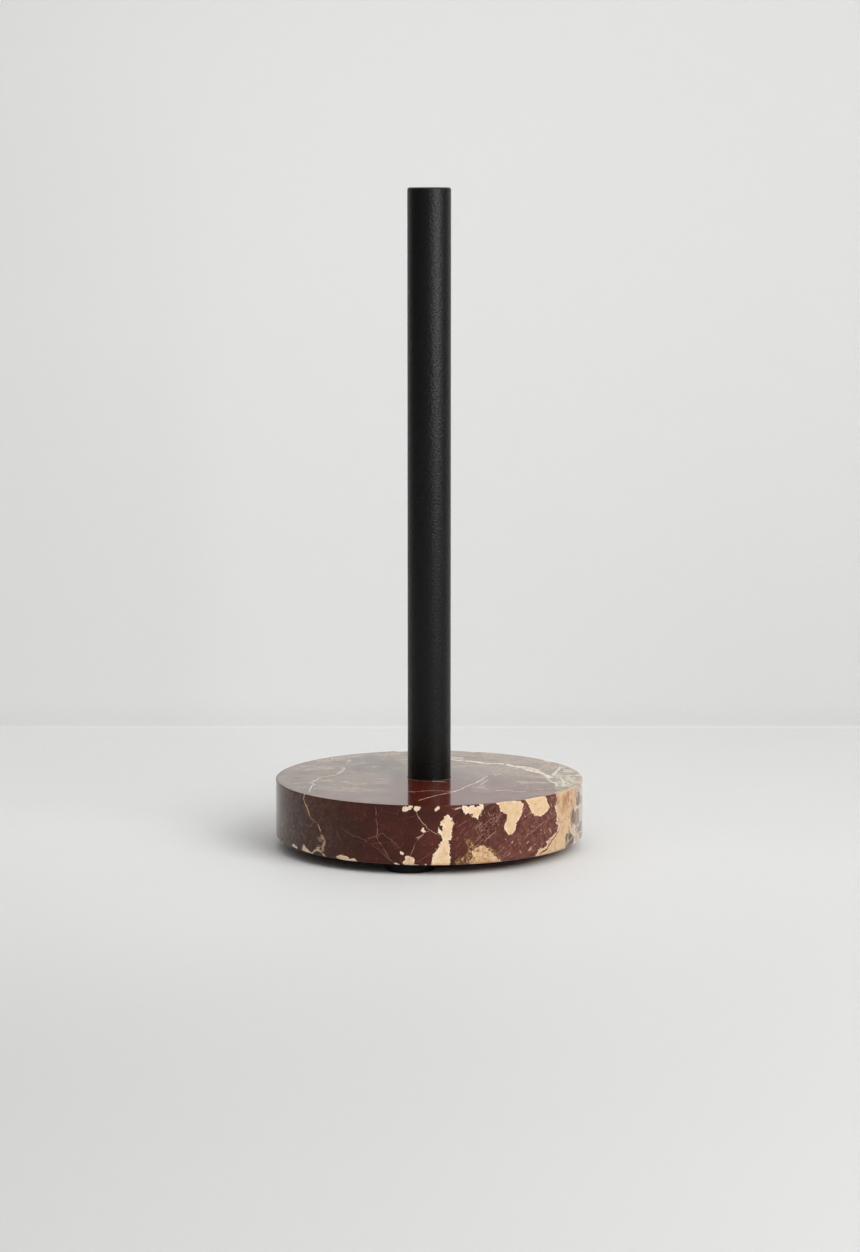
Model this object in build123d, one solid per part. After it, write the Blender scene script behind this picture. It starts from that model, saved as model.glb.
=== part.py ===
from build123d import *

import os
from math import cos, radians, sin, tan

# Free-standing paper towel holder: a round marble base, a coated steel post and the bolt that joins them.
# Millimetres, +Z up along the post, -Y to the front.
# The origin is on the post's axis, at the surface that the feet stand on.

# Marble base
BASE_DIAMETER = 152.0
BASE_THICKNESS = 29.0
BASE_TOP_ROUND = 0.5
BASE_BOTTOM_CHAMFER = 2.0

# Sockets drilled in the base
SEAT_DEPTH = 4.0
SEAT_CLEARANCE = 0.85
BOLT_HOLE_CLEARANCE = 1.0
RECESS_CLEARANCE = 3.5
BOLT_HEAD_SINK = 1.2

# Post, a tube with a cap at its top and a tapped plug at its foot
POST_DIAMETER = 21.3
POST_WALL = 1.5
POST_HEIGHT = 290.0
POST_FOOT_CHAMFER = 0.4
TUBE_FIT_CLEARANCE = 0.05
CAP_HEAD_THICKNESS = 2.0
CAP_RIM_ROUND = 1.1
CAP_SPIGOT_LENGTH = 8.0
CAP_SPIGOT_CHAMFER = 0.8
PLUG_SETBACK = 0.5
PLUG_SPARE_THREAD = 2.5

# Clamp bolt, with its thread drawn as a plain cylinder
BOLT_DIAMETER = 8.0
THREAD_CLEARANCE = 0.05
THREAD_ENGAGEMENT = 11.0
BOLT_TIP_CHAMFER = 0.8
BOLT_HEAD_SHOULDER = 2.5
BOLT_HEAD_HEIGHT = 5.3
BOLT_HEAD_BEVEL = 0.2
BOLT_HEAD_BEVEL_ANGLE = 30.0

# Washers under the bolt's head, with the ring's width from bore to rim
WASHER_BORE_CLEARANCE = 0.2
LOCK_WASHER_RING = 3.3
LOCK_WASHER_THICKNESS = 2.0
LOCK_WASHER_GAP = 1.2
LOCK_WASHER_SLANT = 20.0
FLAT_WASHER_RING = 7.8
FLAT_WASHER_THICKNESS = 2.0
CUSHION_WASHER_RING = 8.3
CUSHION_WASHER_THICKNESS = 1.5

# Rubber feet, each held by a disc of adhesive
FOOT_NAMES = ("front", "right", "left")
FRONT_FOOT_TURN = -9.0
FOOT_DIAMETER = 25.0
FOOT_TAPER = 0.8
FOOT_ROUND = 0.8
FOOT_HEIGHT = 4.5
FOOT_EDGE_INSET = 4.0
ADHESIVE_THICKNESS = 0.5
ADHESIVE_INSET = 0.8

# Heights from the standing surface up
base_bottom = FOOT_HEIGHT + ADHESIVE_THICKNESS
base_top = base_bottom + BASE_THICKNESS
seat_floor = base_top - SEAT_DEPTH
post_top = base_top + POST_HEIGHT
tube_top = post_top - CAP_HEAD_THICKNESS
plug_bottom = seat_floor + PLUG_SETBACK
bolt_tip = plug_bottom + THREAD_ENGAGEMENT
plug_top = bolt_tip + PLUG_SPARE_THREAD
head_bottom = base_bottom + BOLT_HEAD_SINK
head_top = head_bottom + BOLT_HEAD_HEIGHT
lock_washer_top = head_top + LOCK_WASHER_THICKNESS
flat_washer_top = lock_washer_top + FLAT_WASHER_THICKNESS
recess_floor = flat_washer_top + CUSHION_WASHER_THICKNESS

# Radii about the post's axis
base_radius = BASE_DIAMETER / 2
post_radius = POST_DIAMETER / 2
post_bore_radius = post_radius - POST_WALL
seat_radius = post_radius + SEAT_CLEARANCE
tube_fit_radius = post_bore_radius - TUBE_FIT_CLEARANCE
tapped_radius = BOLT_DIAMETER / 2
shank_radius = tapped_radius - THREAD_CLEARANCE
bolt_hole_radius = tapped_radius + BOLT_HOLE_CLEARANCE
washer_bore_radius = tapped_radius + WASHER_BORE_CLEARANCE
cushion_radius = washer_bore_radius + CUSHION_WASHER_RING
recess_radius = cushion_radius + RECESS_CLEARANCE
foot_radius = FOOT_DIAMETER / 2
foot_circle_radius = base_radius - FOOT_EDGE_INSET - foot_radius

UPRIGHT = (Align.CENTER, Align.CENTER, Align.MIN)


def disc(radius, bottom, top):
    """Cylinder on the post's axis between two heights."""
    return Pos(0, 0, bottom) * Cylinder(radius, top - bottom, align=UPRIGHT)


def ring(bore_radius, width, bottom, top):
    """Flat ring on the post's axis, from its bore outwards by its width."""
    return disc(bore_radius + width, bottom, top) - disc(bore_radius, bottom, top)


def lowest_rim(solid):
    """Outermost circle of a turned solid's lowest face."""
    return solid.edges().filter_by(GeomType.CIRCLE).group_by(Axis.Z)[0].sort_by(SortBy.RADIUS)[-1]


def highest_rim(solid):
    """Outermost circle of a turned solid's highest face."""
    return solid.edges().filter_by(GeomType.CIRCLE).group_by(Axis.Z)[-1].sort_by(SortBy.RADIUS)[-1]


def marble_base():
    """Polished disc with a shallow seat for the post above, a bolt hole, and a recess for the bolt's head below."""
    stone = disc(base_radius, base_bottom, base_top)
    stone = fillet(highest_rim(stone), BASE_TOP_ROUND)
    stone = chamfer(lowest_rim(stone), BASE_BOTTOM_CHAMFER)
    stone -= disc(seat_radius, seat_floor, base_top)
    stone -= disc(bolt_hole_radius, recess_floor, seat_floor)
    stone -= disc(recess_radius, base_bottom, recess_floor)
    return stone


def post_tube():
    """Straight round tube that stands on the floor of the seat."""
    tube = ring(post_bore_radius, POST_WALL, seat_floor, tube_top)
    return chamfer(lowest_rim(tube), POST_FOOT_CHAMFER)


def top_cap():
    """End cap with a rounded head as wide as the tube and a spigot inside it."""
    head = fillet(highest_rim(disc(post_radius, tube_top, post_top)), CAP_RIM_ROUND)
    spigot = disc(tube_fit_radius, tube_top - CAP_SPIGOT_LENGTH, tube_top)
    spigot = chamfer(lowest_rim(spigot), CAP_SPIGOT_CHAMFER)
    return head + spigot


def threaded_plug():
    """Tapped steel plug fixed in the tube's foot, set back so that the tube's rim bears on the stone."""
    return disc(tube_fit_radius, plug_bottom, plug_top) - disc(tapped_radius, plug_bottom, plug_top)


def clamp_bolt():
    """Hexagon bolt, head down in the recess, its shank up through the stone into the plug."""
    flats_radius = tapped_radius + BOLT_HEAD_SHOULDER
    hexagon = RegularPolygon(flats_radius, 6, major_radius=False)
    head = Pos(0, 0, head_bottom) * extrude(hexagon, BOLT_HEAD_HEIGHT)
    bevel_radius = flats_radius - BOLT_HEAD_BEVEL
    bevel_spread = BOLT_HEAD_HEIGHT / tan(radians(BOLT_HEAD_BEVEL_ANGLE))
    bevel = Cone(bevel_radius, bevel_radius + bevel_spread, BOLT_HEAD_HEIGHT, align=UPRIGHT)
    head &= Pos(0, 0, head_bottom) * bevel
    shank = chamfer(highest_rim(disc(shank_radius, head_top, bolt_tip)), BOLT_TIP_CHAMFER)
    return head + shank


def lock_washer():
    """Split spring washer, pressed flat, with a slanted gap."""
    washer = ring(washer_bore_radius, LOCK_WASHER_RING, head_top, lock_washer_top)
    middle_radius = washer_bore_radius + LOCK_WASHER_RING / 2
    middle_height = (head_top + lock_washer_top) / 2
    cutter = Box(2 * LOCK_WASHER_RING, LOCK_WASHER_GAP, 3 * LOCK_WASHER_THICKNESS)
    return washer - Pos(middle_radius, 0, middle_height) * Rot(LOCK_WASHER_SLANT, 0, 0) * cutter


def flat_washer():
    """Wide steel washer that spreads the bolt's pull."""
    return ring(washer_bore_radius, FLAT_WASHER_RING, lock_washer_top, flat_washer_top)


def cushion_washer():
    """Rubber washer that keeps the steel off the stone."""
    return ring(washer_bore_radius, CUSHION_WASHER_RING, flat_washer_top, recess_floor)


def foot_place(number):
    """Place of a foot on its circle, counted from the front one."""
    turn = radians(FRONT_FOOT_TURN + 360.0 * number / len(FOOT_NAMES))
    return Pos(foot_circle_radius * sin(turn), -foot_circle_radius * cos(turn), 0)


def rubber_foot():
    """Round bumper, a little narrower at its rounded lower edge."""
    body = Cone(foot_radius - FOOT_TAPER, foot_radius, FOOT_HEIGHT, align=UPRIGHT)
    return fillet(lowest_rim(body), FOOT_ROUND)


def adhesive_disc():
    """Thin disc that sticks a bumper to the stone."""
    return disc(foot_radius - ADHESIVE_INSET, FOOT_HEIGHT, base_bottom)


pieces = {
    "marble_base": marble_base(),
    "post_tube": post_tube(),
    "top_cap": top_cap(),
    "threaded_plug": threaded_plug(),
    "clamp_bolt": clamp_bolt(),
    "lock_washer": lock_washer(),
    "flat_washer": flat_washer(),
    "cushion_washer": cushion_washer(),
}
for number, name in enumerate(FOOT_NAMES):
    pieces["rubber_foot_" + name] = foot_place(number) * rubber_foot()
    pieces["adhesive_disc_" + name] = foot_place(number) * adhesive_disc()

os.makedirs("parts", exist_ok=True)
for node, solid in pieces.items():
    export_step(solid, os.path.join("parts", node + ".step"))
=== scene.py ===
import bpy
import numpy as np
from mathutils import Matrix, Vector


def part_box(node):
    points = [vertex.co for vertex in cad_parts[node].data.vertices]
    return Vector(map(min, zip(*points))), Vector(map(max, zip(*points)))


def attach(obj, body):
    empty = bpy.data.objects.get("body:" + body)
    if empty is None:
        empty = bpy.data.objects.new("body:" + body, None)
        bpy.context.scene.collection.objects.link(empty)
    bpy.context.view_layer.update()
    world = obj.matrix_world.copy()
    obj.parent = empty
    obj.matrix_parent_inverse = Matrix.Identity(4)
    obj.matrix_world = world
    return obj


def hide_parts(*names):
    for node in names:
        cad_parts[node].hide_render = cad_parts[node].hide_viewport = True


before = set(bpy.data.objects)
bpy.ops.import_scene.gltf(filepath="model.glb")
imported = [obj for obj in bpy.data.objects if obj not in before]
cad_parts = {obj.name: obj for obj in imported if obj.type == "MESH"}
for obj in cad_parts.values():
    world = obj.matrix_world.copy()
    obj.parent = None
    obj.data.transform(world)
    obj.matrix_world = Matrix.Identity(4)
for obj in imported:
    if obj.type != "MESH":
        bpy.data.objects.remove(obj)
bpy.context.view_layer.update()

# Paper towel holder: a round marble base, a black coated post, and the bolt, washers and feet below.
# Metres, +Z up along the post, -Y to the front. Stone markings are given in millimetres.
MM = 0.001
TURN = 2 * np.pi

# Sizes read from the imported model
base_low, base_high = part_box("marble_base")
tube_low, tube_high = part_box("post_tube")
cap_low, cap_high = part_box("top_cap")
plug_low, plug_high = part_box("threaded_plug")
bolt_low, bolt_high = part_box("clamp_bolt")
lock_low, lock_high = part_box("lock_washer")
flat_low, flat_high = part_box("flat_washer")
cushion_low, cushion_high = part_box("cushion_washer")
BASE_RADIUS = base_high.x
BASE_TOP = base_high.z
BASE_BOTTOM = base_low.z
POST_RADIUS = tube_high.x
SEAT_FLOOR = tube_low.z
RECESS_FLOOR = cushion_high.z
LOCK_RADIUS = max(lock_high.x, -lock_low.x)

# Sizes repeated from the part's source
BASE_TOP_ROUND = 0.5 * MM
BOLT_HOLE_RADIUS = 5.0 * MM
RECESS_RADIUS = 16.0 * MM
TUBE_BORE_RADIUS = 9.15 * MM
TUBE_FIT_RADIUS = TUBE_BORE_RADIUS - 0.05 * MM
TUBE_FOOT_CUT = 0.4 * MM
CAP_RIM_ROUND = 1.1 * MM
CAP_SPIGOT_CUT = 0.8 * MM
TAPPED_RADIUS = 4.0 * MM
SHANK_RADIUS = 3.95 * MM
BOLT_TIP_CUT = 0.8 * MM
WASHER_BORE_RADIUS = 4.2 * MM
LOCK_GAP = 1.2 * MM
LOCK_SLANT = np.radians(20)
HEAD_HEIGHT = 5.3 * MM
HEAD_FLATS_RADIUS = 6.5 * MM
HEAD_BEVEL = 0.2 * MM
HEAD_BEVEL_ANGLE = np.radians(30)
FOOT_TAPER = 0.8 * MM
FOOT_ROUND = 0.8 * MM
FOOT_NAMES = ("front", "right", "left")

# Sizes drawn here only: soft edges, the seat's lip close to the post, threads, dishes
BASE_LOWER_ROUND = 1.4 * MM
SEAT_LIP_RADIUS = 10.8 * MM
SEAT_LIP_ROUND = 0.2 * MM
RECESS_EDGE_ROUND = 0.3 * MM
TUBE_BORE_ROUND = 0.2 * MM
CAP_DOME = 0.05 * MM
CAP_MIDDLE = 0.4 * MM
DISC_MIDDLE = 0.5 * MM
PLUG_EDGE_ROUND = 0.4 * MM
BORE_MARGIN = 0.01 * MM
THREAD_PITCH = 1.25 * MM
PLUG_THREAD_DEPTH = 0.55 * MM
PLUG_THREAD_FADE = 0.8 * MM
BOLT_THREAD_DEPTH = 0.72 * MM
PLAIN_SHANK = 6 * MM
SHANK_START = 0.2 * MM
HEAD_EDGE = 0.15 * MM
STEEL_EDGE_ROUND = 0.3 * MM
CUSHION_EDGE_ROUND = 0.35 * MM
FOOT_DISH_DEPTH = 0.5 * MM
FOOT_DISH_ROUND = 0.4 * MM
FOOT_TOP_ROUND = 0.15 * MM
PAD_BULGE = 0.1 * MM
PAD_EDGE_ROUND = 0.05 * MM

# Shares of a piece's own radius: rings that keep the bolt's face flat, the shank's two ends, the foot's dish
HEAD_FACE_HOLDS = (0.72, 0.76)
SHANK_FOOT = 1.1
BOLT_POINT = 0.75
FOOT_DISH_FLOOR = 0.42
FOOT_DISH_RIM = 0.5

# Fineness of the surfaces
STONE_COLUMNS = 720
FRONT_CROWDING = 0.4
POST_COLUMNS = 192
SMALL_COLUMNS = 96
ARC_STEPS = 4
HOLD = 0.25 * MM
SHARP_ANGLE = np.radians(38)


def unit(vector):
    """The vector divided by its own length."""
    return vector / np.linalg.norm(vector)


def rounded_corner(before, here, after, rounding):
    """Circular arc that touches both legs of a corner, with one holding point beyond each end.

    With half the corner's angle h, the arc's centre lies rounding / sin(h) along the corner's bisector and
    the legs are touched rounding / tan(h) away from the corner. Points on it are the start and end spokes
    blended by the sines of the angle that is left and the angle that is passed.
    """
    back = unit(before - here)
    onward = unit(after - here)
    half = np.arccos(np.clip(back @ onward, -1, 1)) / 2
    reach = rounding / np.tan(half)
    centre = here + unit(back + onward) * rounding / np.sin(half)
    start = here + back * reach - centre
    end = here + onward * reach - centre
    turn = np.pi - 2 * half
    share = np.linspace(0, 1, ARC_STEPS + 1)[:, None]
    arc = centre + (np.sin((1 - share) * turn) * start + np.sin(share * turn) * end) / np.sin(turn)
    first = here + back * (reach + min(HOLD, np.linalg.norm(before - here) / 4))
    last = here + onward * (reach + min(HOLD, np.linalg.norm(after - here) / 4))
    return np.vstack([first, arc, last])


def profile_line(corners, closed):
    """Fine (r, z) line through corners (r, z, rounding, step).

    A corner with a rounding becomes an arc, and the straight run that follows it is cut into equal parts no
    longer than its step.
    """
    spots = np.array([corner[:2] for corner in corners])
    count = len(corners)
    bends = []
    for number, corner in enumerate(corners):
        rounding = corner[2]
        is_end = not closed and number in (0, count - 1)
        if is_end or rounding == 0:
            bends.append(spots[number][None])
        else:
            after = spots[(number + 1) % count]
            bends.append(rounded_corner(spots[number - 1], spots[number], after, rounding))
    line = []
    for number, bend in enumerate(bends):
        line.append(bend)
        if closed or number < count - 1:
            start = bend[-1]
            end = bends[(number + 1) % count][0]
            parts = int(np.ceil(np.linalg.norm(end - start) / corners[number][3]))
            share = np.linspace(0, 1, parts + 1)[1:-1, None]
            line.append(start + (end - start) * share)
    return np.vstack(line)


def round_axis(r, angle, z, centre=(0.0, 0.0)):
    """Points (r sin a, -r cos a, z) from a centre, so that an angle a of zero faces the front."""
    x = centre[0] + r * np.sin(angle)
    y = centre[1] - r * np.cos(angle)
    return np.stack([x, y, np.broadcast_to(z, x.shape)], axis=-1)


def turned_grid(line, columns, centre=(0.0, 0.0), crowding=0.0):
    """Surface of revolution: one row for each (r, z) of the line, one column for each angle.

    The angle runs from the back, over the left and the front, round to the back again. It is an even angle
    less its sine times the crowding, which sets the columns closer together at the front.
    """
    angle = np.linspace(-np.pi, np.pi, columns, endpoint=False)
    angle = angle - crowding * np.sin(angle)
    return round_axis(line[:, :1], angle, line[:, 1:], centre)


def linked(name, data):
    """Object that holds this data, at the origin of the scene."""
    made = bpy.data.objects.new(name, data)
    bpy.context.scene.collection.objects.link(made)
    return made


def grid_object(name, grid, closed_rows):
    """Mesh object over a grid of points whose columns close on themselves.

    Rows close on themselves too, or each end row is closed by a fan to its middle. The enclosed volume, a
    sixth of the sum of the triple products of all triangles, tells which way the faces point.
    """
    rows, columns = grid.shape[:2]
    points = grid.reshape(-1, 3)
    lower = np.arange(rows * columns).reshape(rows, columns)
    upper = np.roll(lower, -1, axis=0)
    fans = np.zeros((0, 3), int)
    if not closed_rows:
        first = lower[0]
        last = lower[-1]
        first_middle = np.full(columns, rows * columns)
        first_fan = np.stack([np.roll(first, -1), first, first_middle], axis=1)
        last_fan = np.stack([last, np.roll(last, -1), first_middle + 1], axis=1)
        fans = np.vstack([first_fan, last_fan])
        points = np.vstack([points, grid[0].mean(axis=0), grid[-1].mean(axis=0)])
        lower = lower[:-1]
        upper = upper[:-1]
    quads = np.stack([lower, np.roll(lower, -1, axis=1), np.roll(upper, -1, axis=1), upper], axis=-1)
    quads = quads.reshape(-1, 4)
    corner = points[np.vstack([quads[:, [0, 1, 2]], quads[:, [0, 2, 3]], fans])]
    volume = np.einsum("ij,ij->i", corner[:, 0], np.cross(corner[:, 1], corner[:, 2])).sum() / 6
    if volume < 0:
        quads = quads[:, ::-1]
        fans = fans[:, ::-1]
    mesh = bpy.data.meshes.new(name)
    mesh.from_pydata(points.tolist(), [], quads.tolist() + fans.tolist())
    mesh.shade_smooth()
    mesh.set_sharp_from_angle(angle=SHARP_ANGLE)
    return linked(name, mesh)


def turned_piece(name, corners, columns, closed=True, centre=(0.0, 0.0)):
    """Mesh object turned from the line through its corners, closed on itself or by a fan at each end."""
    line = profile_line(corners, closed)
    return grid_object(name, turned_grid(line, columns, centre), closed)


def carry(piece, name, values):
    """Gives a mesh one number per vertex, for its material to read."""
    attribute = piece.data.attributes.new(name, "FLOAT", "POINT")
    flat = np.zeros(len(piece.data.vertices), np.float32)
    flat[: values.size] = values.ravel()
    attribute.data.foreach_set("value", flat)


def dress(piece, finish, body, slot, *nodes):
    """Gives a piece its finish, the body it rides on and the nodes it stands for; the material slot is not
    used.
    """
    piece.data.materials.append(finish)
    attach(piece, body)
    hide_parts(*nodes)


# Stone markings on the rim: millimetres along it from the front, to the right, and down from the top face
CREAM_PATCHES = [
    [(8.8, 4.1), (10.0, 5.2), (11.2, 5.8), (10.9, 7.6), (11.6, 9.4), (10.8, 10.9), (11.2, 13.0),
     (10.3, 16.0), (9.2, 17.8), (9.7, 20.2), (10.3, 23.9), (10.0, 32.0), (0.6, 32.0), (1.9, 25.0),
     (2.2, 23.1), (3.4, 20.7), (5.5, 17.7), (6.4, 16.9), (5.2, 14.1), (4.0, 12.3), (3.4, 9.0),
     (4.6, 10.5), (5.5, 12.3), (6.1, 10.8), (5.6, 8.1), (6.4, 6.3), (7.3, 5.1)],
    [(16.2, 1.0), (17.3, 0.5), (24.5, 0.7), (24.8, -0.2), (26.2, -0.2), (27.3, 1.6), (26.2, 2.7),
     (25.1, 3.9), (24.1, 5.6), (23.4, 7.1), (22.6, 6.8), (20.8, 5.8), (20.1, 4.4), (18.3, 3.9),
     (17.1, 4.8), (16.7, 3.4)],
]

# Chips of cream with crisper outlines
CREAM_CHIPS = [
    [(33.1, 0.1), (34.4, 1.3), (35.3, 3.8), (36.7, 5.2), (38.6, 6.1), (38.9, 8.4), (37.7, 10.5),
     (37.4, 12.0), (38.1, 14.3), (39.8, 16.1), (41.8, 15.9), (43.1, 14.7), (43.7, 12.3), (44.4, 10.4),
     (45.9, 8.3), (46.9, 7.2), (47.8, 4.3), (48.4, 1.6), (44.6, -0.2), (38.0, -0.8), (35.3, -0.4)],
    [(49.0, -0.4), (51.2, 2.2), (53.3, 5.7), (55.4, 8.7), (57.7, 8.4), (59.7, 9.2), (62.4, 8.2),
     (66.1, 6.0), (64.3, 2.7), (62.4, 0.0), (61.4, -0.5), (54.9, -0.8)],
    [(-12.9, 2.2), (-12.1, 0.5), (-11.0, 0.0), (-10.3, 0.4), (-9.2, -0.3), (-7.9, 0.2), (-8.3, 1.2),
     (-9.2, 2.1), (-11.0, 2.9), (-12.2, 3.1)],
    [(-7.3, 1.5), (-6.7, 0.3), (-5.3, 0.0), (-3.9, 0.4), (-3.9, 1.6), (-4.9, 2.1), (-5.9, 2.7),
     (-6.7, 2.1)],
    [(2.2, 2.8), (3.0, 1.4), (4.3, 0.4), (5.6, 0.6), (4.6, 1.2), (3.6, 1.9), (2.8, 2.8)],
    [(-11.6, 24.8), (-10.7, 23.8), (-10.0, 24.4), (-8.6, 24.6), (-7.3, 25.0), (-7.0, 30.5), (-10.7, 30.5),
     (-13.0, 27.5), (-11.2, 26.3)],
    [(-14.3, 22.5), (-13.1, 22.2), (-11.5, 22.8), (-12.5, 23.8), (-13.7, 23.4)],
    [(-16.8, 27.9), (-15.6, 28.1), (-14.1, 28.9), (-15.6, 29.4)],
    [(-7.0, 28.4), (-4.9, 28.4), (-4.6, 29.6), (-7.0, 29.6)],
    [(-2.4, 28.3), (-1.6, 28.0), (-1.1, 28.7), (-2.0, 29.4)],
    [(-3.9, 12.2), (-2.9, 10.6), (-2.4, 11.4), (-1.7, 12.3), (-2.8, 12.8)],
    [(-81.2, 27.0), (-79.6, 25.9), (-77.9, 26.4), (-76.1, 27.4), (-78.5, 27.9)],
    [(-71.0, 25.2), (-69.9, 24.3), (-68.9, 25.8), (-66.4, 26.9), (-64.0, 28.1), (-67.4, 28.4),
     (-71.5, 27.5)],
    [(-47.7, 27.4), (-46.8, 26.5), (-44.7, 26.5), (-43.3, 26.1), (-41.1, 26.9), (-39.7, 27.7),
     (-37.6, 27.2), (-34.9, 28.6), (-40.4, 29.2), (-44.7, 29.0), (-47.3, 28.2)],
]
CHIP_CRISPNESS = 2.0

# Patches with tan and rust in the cream: at the front's lower edge, and over the right side onto the top
TAN_PATCHES = [
    [(21.5, 21.0), (23.1, 20.7), (25.2, 19.7), (26.6, 20.1), (28.6, 21.9), (30.3, 23.6), (32.3, 25.4),
     (34.9, 28.0), (36.6, 32.0), (18.4, 32.0), (19.4, 27.3), (21.6, 24.6), (20.9, 22.9)],
    [(71.5, 0.0), (71.5, 3.2), (70.8, 6.1), (71.6, 10.5), (71.6, 14.2), (73.6, 17.3), (72.8, 18.7),
     (69.1, 20.0), (66.5, 20.8), (63.7, 22.8), (63.7, 25.3), (60.5, 24.5), (58.3, 24.8), (57.5, 26.2),
     (55.5, 31.0), (60.0, 37.0), (95.0, 41.0), (138.0, 36.0), (149.0, 24.0), (146.0, 14.0), (152.0, 8.0),
     (154.8, -2.4), (144.9, -10.1), (143.3, -14.9), (131.6, -18.5), (108.2, -16.5), (92.9, -11.0),
     (84.8, -7.2), (76.0, -1.8)],
]

# Brown and olive mottle round the front's lower patch, and a shattered zone above it
OLIVE_ZONES = [
    [(16.8, 16.3), (19.7, 16.5), (21.9, 19.6), (24.4, 18.8), (27.5, 19.9), (30.8, 21.4), (33.4, 24.0),
     (36.1, 27.3), (37.5, 32.0), (12.0, 32.0), (12.4, 26.7), (14.5, 25.2), (16.9, 24.1), (18.5, 22.4),
     (18.8, 20.0), (16.9, 17.8)],
]
SHATTERED_ZONES = [
    [(23.1, 5.1), (24.9, 2.8), (27.5, 2.4), (30.7, 3.2), (33.3, 4.6), (36.0, 6.7), (36.0, 9.7),
     (33.4, 13.1), (30.7, 15.3), (28.2, 18.8), (25.0, 16.7), (22.5, 12.9), (23.1, 8.7)],
]

# Broken grey stone in the right side's cream
GREY_BLOTCHES = [
    [(98.0, 1.5), (94.0, 8.0), (88.6, 11.6), (86.2, 14.4), (87.4, 18.0), (84.0, 20.4), (80.8, 22.6),
     (80.0, 27.0), (83.0, 30.2), (96.0, 31.5), (140.0, 31.0), (147.0, 20.0), (140.0, 8.0), (120.0, 0.6)],
]

# Veins on the rim: line, half its width in millimetres, strength (below zero for a dark crack), share of gold
RIM_VEINS = [
    ([(-69.0, -1.5), (-69.6, 0.6), (-70.2, 2.4), (-68.2, 5.1), (-66.2, 7.9), (-65.1, 9.9),
      (-64.4, 11.0)], 0.38, 1.0, 0.75),
    ([(-65.1, 9.9), (-62.5, 11.6), (-59.8, 13.2)], 0.2, 0.35, 0.5),
    ([(-60.3, 12.6), (-58.2, 15.3), (-56.5, 17.5)], 0.3, 0.8, 0.3),
    ([(-57.4, 17.6), (-55.1, 21.0), (-56.0, 23.6), (-56.4, 26.6)], 0.95, 0.6, 0.3),
    ([(-59.8, 19.0), (-58.6, 20.4), (-57.4, 22.0)], 0.5, 0.55, 0.2),
    ([(-64.6, 28.6), (-61.7, 26.5), (-58.1, 26.0), (-55.6, 27.2), (-54.0, 28.8)], 0.5, 0.75, 0.0),
    ([(-61.2, 25.0), (-57.4, 24.1)], 0.4, 0.8, 0.0),
    ([(-6.8, 2.0), (-4.9, 5.4), (-3.3, 8.1), (-0.9, 10.8), (0.8, 12.0), (3.8, 13.6),
      (5.6, 15.0)], 0.18, 0.6, 0.25),
    ([(0.3, 11.9), (-2.7, 13.5), (-4.8, 14.7), (-7.0, 15.9)], 0.18, 0.5, 0.0),
    ([(-2.2, 13.4), (-5.1, 15.9), (-6.7, 19.0), (-8.0, 21.7), (-9.6, 24.6)], 0.17, 0.36, 0.0),
    ([(-26.0, 0.6), (-25.9, 5.3), (-25.2, 9.5), (-25.1, 12.5), (-25.6, 14.9), (-24.5, 17.3),
      (-22.4, 20.4)], 0.2, 0.34, 0.0),
    ([(-25.6, 14.9), (-22.0, 14.1), (-18.9, 16.4), (-15.9, 18.6), (-13.6, 21.0)], 0.18, 0.26, 0.0),
    ([(-25.6, 14.9), (-28.4, 16.0), (-30.6, 17.6)], 0.18, 0.3, 0.0),
    ([(-24.5, 17.3), (-21.8, 21.4), (-19.4, 24.6), (-17.4, 28.0)], 0.18, 0.28, 0.0),
    ([(-45.2, 12.8), (-39.0, 15.4), (-33.6, 17.4), (-29.6, 19.2)], 0.16, 0.2, 0.0),
    ([(-28.0, 19.4), (-23.3, 22.7), (-18.3, 27.2)], 0.16, 0.2, 0.0),
    ([(11.4, 1.8), (13.9, 1.4), (16.6, 1.0)], 0.45, 0.75, 0.0),
    ([(26.4, 19.0), (30.9, 14.8), (33.6, 12.8)], 0.2, 0.42, 0.1),
    ([(39.2, 19.3), (44.9, 15.6)], 0.18, 0.36, 0.1),
    ([(45.2, 19.2), (48.2, 23.4)], 0.18, 0.3, 0.0),
    ([(48.6, 18.4), (55.0, 15.3), (59.5, 13.3), (68.2, 10.6)], 0.2, 0.32, 0.0),
    ([(64.9, 15.4), (66.8, 17.2), (67.2, 19.4)], 0.35, 0.6, 0.6),
    ([(51.0, 25.5), (54.4, 22.9)], 0.55, 0.55, 0.0),
    ([(74.6, 18.2), (71.2, 20.4), (69.1, 21.8), (66.6, 23.9), (64.2, 25.7), (60.5, 27.3),
      (58.2, 28.2)], 0.36, -1.0, 0.0),
    ([(91.2, -2.6), (96.8, -0.5), (105.0, 2.2)], 0.35, -0.8, 0.0),
    ([(91.6, 11.0), (89.4, 13.2), (89.0, 16.0), (90.6, 19.0)], 3.6, -0.5, 0.0),
    ([(83.6, 21.0), (85.4, 23.6), (86.2, 27.8)], 1.4, -0.45, 0.0),
    ([(-118.0, 29.5), (-124.0, 20.0), (-131.0, 13.0), (-135.0, 4.0), (-141.0, -3.0)], 0.4, 0.8, 0.5),
    ([(-131.0, 13.0), (-142.0, 17.0), (-154.0, 16.0), (-163.0, 23.0), (-171.0, 30.0)], 0.3, 0.6, 0.2),
    ([(-150.0, 16.4), (-156.0, 8.0), (-160.0, -2.0)], 0.22, 0.5, 0.2),
    ([(228.0, 31.0), (222.0, 20.0), (213.0, 14.0), (207.0, 5.0), (203.0, -3.0)], 0.45, 0.85, 0.6),
    ([(213.0, 14.0), (201.0, 18.0), (190.0, 17.0), (181.0, 22.0), (172.0, 31.0)], 0.3, 0.6, 0.2),
    ([(176.0, -3.0), (179.0, 6.0), (186.0, 11.0), (189.0, 17.0)], 0.22, 0.5, 0.0),
    ([(-96.0, 3.0), (-101.0, 11.0), (-108.0, 15.0), (-113.0, 24.0)], 0.2, 0.4, 0.1),
]

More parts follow.
